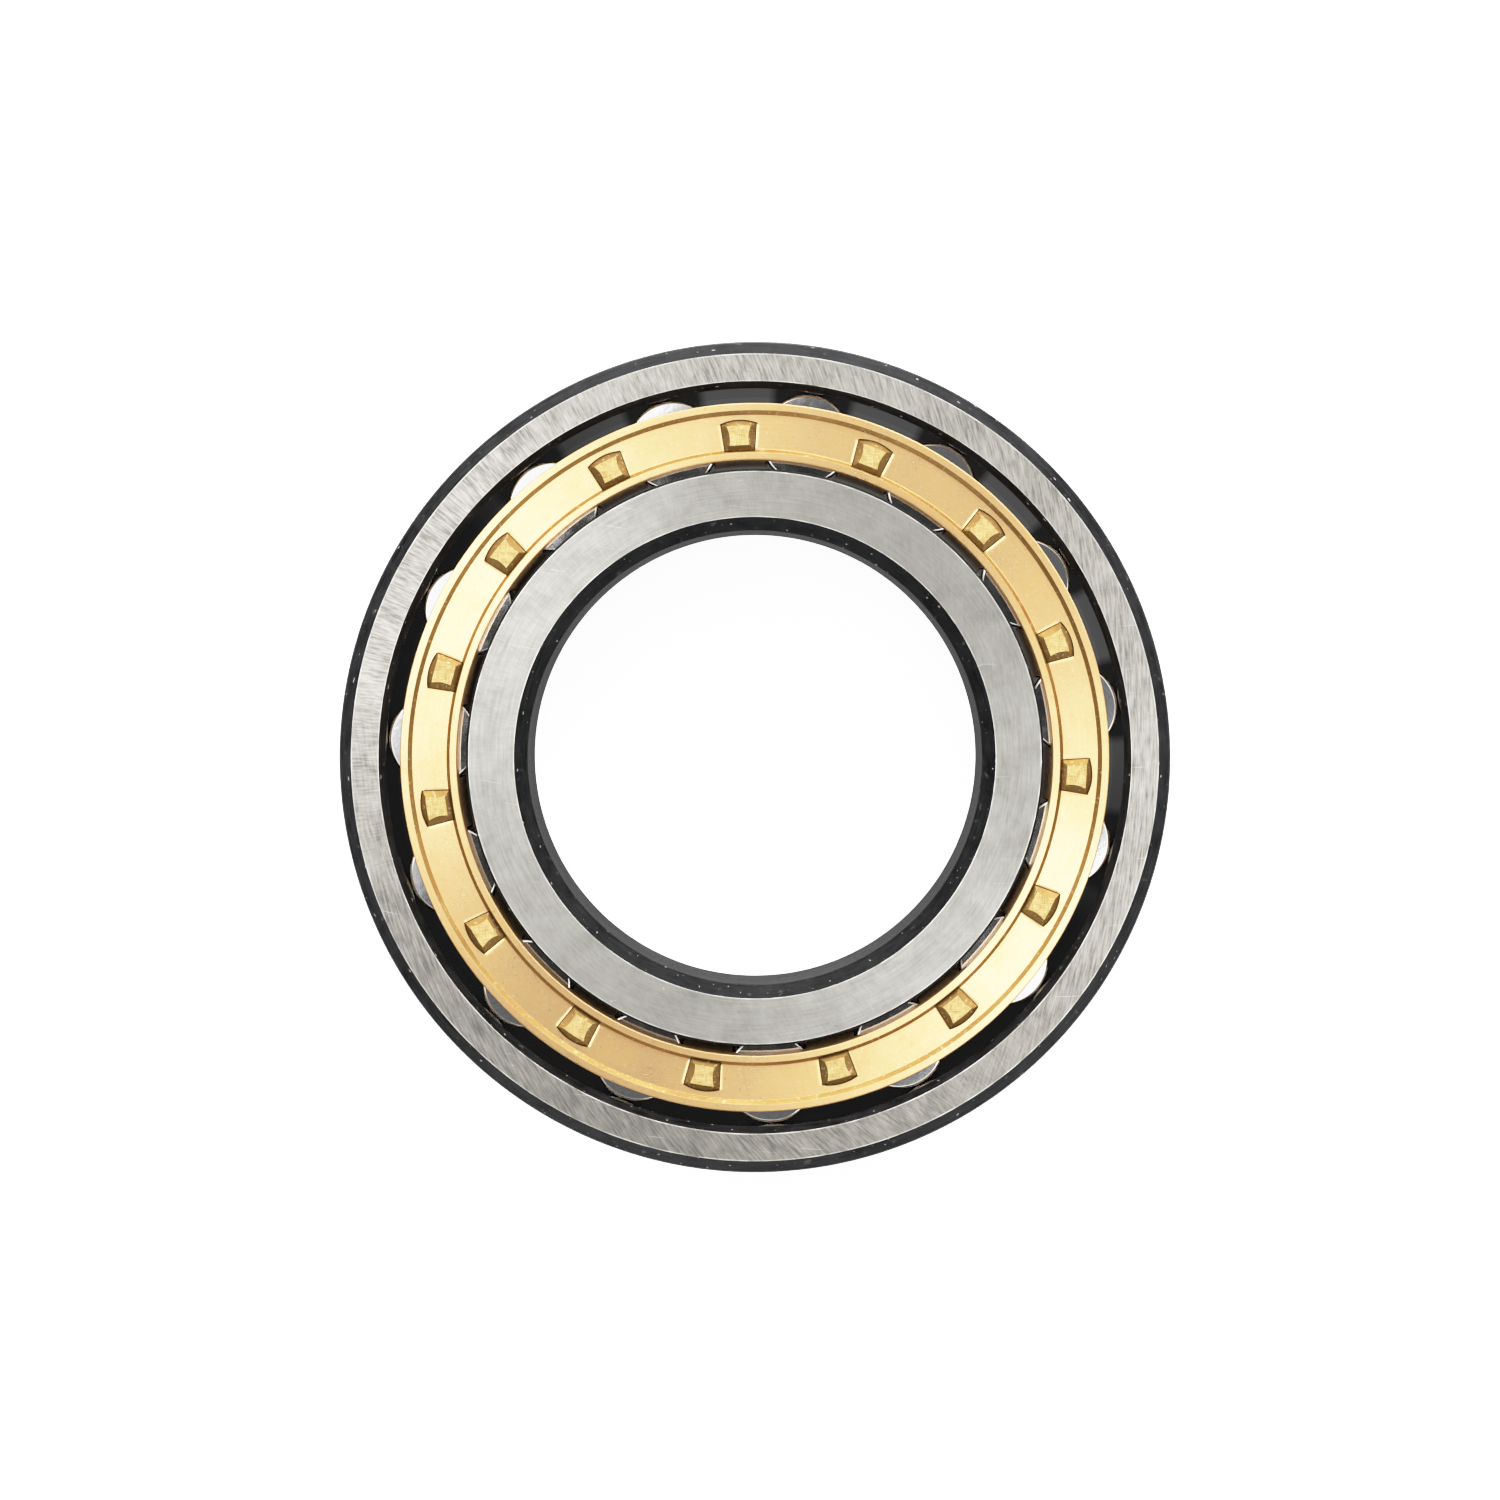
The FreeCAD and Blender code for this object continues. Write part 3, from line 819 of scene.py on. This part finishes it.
def pale_paper():
    """Plain pale paper, faintly glowing so that it stays white beside dark steel."""
    s = Shader("pale_paper")
    soft = s.noise(s.place, 6.0, 2.0, 0.5)
    s.surface.inputs["Specular IOR Level"].default_value = 0.0
    s.surface.inputs["Emission Color"].default_value = (1, 1, 1, 1)
    s.surface.inputs["Emission Strength"].default_value = 1.3
    return s.set(Base_Color=s.blend(soft, (0.93, 0.93, 0.93, 1), (0.95, 0.95, 0.95, 1)), Roughness=0.9)


def shaded_paper():
    """The paper under the rings: dark, with a little light between the rollers on one side."""
    s = Shader("shaded_paper")
    gaps = s.math("SUBTRACT", s.bearing_of(), FIRST_TENON_ANGLE)
    between = s.spread(s.math("COSINE", s.math("MULTIPLY", gaps, ROLLER_COUNT)), -0.1, 0.28, 0.05, 1.0)
    lit = s.math("MULTIPLY", s.math("MULTIPLY", shown_near(s, 57, 0.1, 0.7), between), 0.08)
    s.surface.inputs["Specular IOR Level"].default_value = 0.0
    s.surface.inputs["Emission Color"].default_value = (1, 1, 1, 1)
    return s.set(Base_Color=(0.01, 0.01, 0.01, 1), Roughness=0.9, Emission_Strength=s.math("ADD", lit, 0.012))


def make_floor():
    """White floor, kept out of the steel's reflections, and a shaded patch under the rings that is not."""
    corners = [(-FLOOR_HALF, -FLOOR_HALF, 0), (FLOOR_HALF, -FLOOR_HALF, 0),
               (FLOOR_HALF, FLOOR_HALF, 0), (-FLOOR_HALF, FLOOR_HALF, 0)]
    mesh = bpy.data.meshes.new("floor_mesh")
    mesh.from_pydata(corners, [], [(0, 1, 2, 3)])
    floor = new_object("floor", mesh, [pale_paper()])
    floor.location.z = cad_box[0].z
    floor.visible_glossy = False
    band = [(Vector((PATCH_INNER, 0)), 0), (Vector((PATCH_OUTER, 0)), 0)]
    mesh = lathe_mesh("floor_patch_mesh", band, PATCH_SEGMENTS, closed=False)
    patch = new_object("floor_patch", mesh, [shaded_paper()])
    patch.location.z = cad_box[0].z + PATCH_LIFT


def make_world():
    """Dim grey studio with soft round glows."""
    world = bpy.data.worlds.new("grey_studio")
    bpy.context.scene.world = world
    world.use_nodes = True
    tree = world.node_tree
    place = tree.nodes.new("ShaderNodeTexCoord").outputs["Generated"]
    total = None
    for azimuth, zenith, core, edge, radiance in GLOWS:
        turn, tilt = math.radians(azimuth), math.radians(zenith)
        near = tree.nodes.new("ShaderNodeVectorMath")
        near.operation = "DOT_PRODUCT"
        flat = math.sin(tilt)
        near.inputs[1].default_value = (flat * math.cos(turn), flat * math.sin(turn), math.cos(tilt))
        tree.links.new(place, near.inputs[0])
        fade = tree.nodes.new("ShaderNodeMapRange")
        fade.interpolation_type = "SMOOTHSTEP"
        fade.inputs["From Min"].default_value = math.cos(math.radians(edge))
        fade.inputs["From Max"].default_value = math.cos(math.radians(core))
        fade.inputs["To Max"].default_value = radiance
        tree.links.new(near.outputs["Value"], fade.inputs["Value"])
        add = tree.nodes.new("ShaderNodeMath")
        add.inputs[1].default_value = STUDIO_GREY
        if total is not None:
            tree.links.new(total, add.inputs[1])
        tree.links.new(fade.outputs[0], add.inputs[0])
        total = add.outputs[0]
    background = tree.nodes["Background"]
    background.inputs["Color"].default_value = (1.0, 1.0, 1.0, 1)
    tree.links.new(total, background.inputs["Strength"])


def make_camera():
    """Camera almost straight above the bearing, a touch towards +X and +Y."""
    data = bpy.data.cameras.new("camera")
    data.sensor_width = 36.0
    data.lens = CAMERA_LENS
    camera = bpy.data.objects.new("camera", data)
    bpy.context.scene.collection.objects.link(camera)
    back = (CAMERA_PLACE - CAMERA_TARGET).normalized()
    right = Vector((0, 1, 0)).cross(back).normalized()
    up = back.cross(right)
    turned = Matrix((right, up, back)).transposed().to_4x4()
    camera.matrix_world = Matrix.Translation(CAMERA_PLACE) @ turned
    data.clip_start = 0.01
    data.clip_end = 20.0
    bpy.context.scene.camera = camera


def set_tones():
    """Plain tones with a soft shoulder, so bright brass turns cream instead of clipping."""
    view = bpy.context.scene.view_settings
    view.view_transform = "Standard"
    view.use_curve_mapping = True
    mapping = view.curve_mapping
    mapping.white_level = (WHITE_LEVEL, WHITE_LEVEL, WHITE_LEVEL)
    combined_curve = mapping.curves[3]
    for level, tone in SHOULDER:
        combined_curve.points.new(level, tone)
    mapping.update()


# --- everything put together ------------------------------------------------------------------
make_camera()
make_world()
make_floor()
honed_race = race_steel()
black_steel = dark_steel("inner_chamfer_steel", shade=0.004, specular=0.08)
make_outer_ring([
    face_steel("outer_face_steel", low=(0.155, 0.149, 0.136, 1), high=(0.46, 0.442, 0.404, 1),
               cloudy=0.3, ringed=0.0, grain=0.55, shade_bearing=-95,
               edges=(RACE_RADIUS + LEAD_IN_HEIGHT, OUTSIDE_RADIUS - CORNER)),
    dark_steel("outer_chamfer_steel", shade=0.006, specular=0.09),
    wall_steel("outside_steel", low=0.42, high=0.54),
    honed_race,
    black_steel,
])
make_inner_ring([
    face_steel("inner_face_steel", low=(0.238, 0.232, 0.215, 1), high=(0.408, 0.400, 0.369, 1),
               cloudy=0.45, ringed=0.6, grain=0.6, shade_bearing=40,
               edges=(BORE_RADIUS + CORNER, RIB_RADIUS - RIB_CHAMFER)),
    black_steel,
    wall_steel("bore_steel", low=0.36, high=0.48),
    honed_race,
])
make_rollers(roller_steel())
milled = brass("milled_brass", pale=(0.92, 0.60, 0.26, 1), deep=(0.82, 0.50, 0.20, 1), grain=0.3, rough=0.3)
turned = brass("turned_brass", pale=(0.975, 0.630, 0.300, 1), deep=(0.81, 0.487, 0.205, 1),
               grain=0.92, rough=0.29)
# cut_brass (rim walls, tenon holes) and facet_brass (tenon sides and facets) are much darker than the turned
# band: partly oxide on cut faces, partly painted shade
cut = brass("cut_brass", pale=(0.36, 0.22, 0.075, 1), deep=(0.24, 0.135, 0.04, 1), grain=0.0, rough=0.42)
facet = brass("facet_brass", pale=(0.27, 0.165, 0.055, 1), deep=(0.17, 0.10, 0.03, 1), grain=0.0, rough=0.5)
make_cage_body([milled, facet, pad_brass()])
make_cage_end_ring([turned, cut])
set_tones()
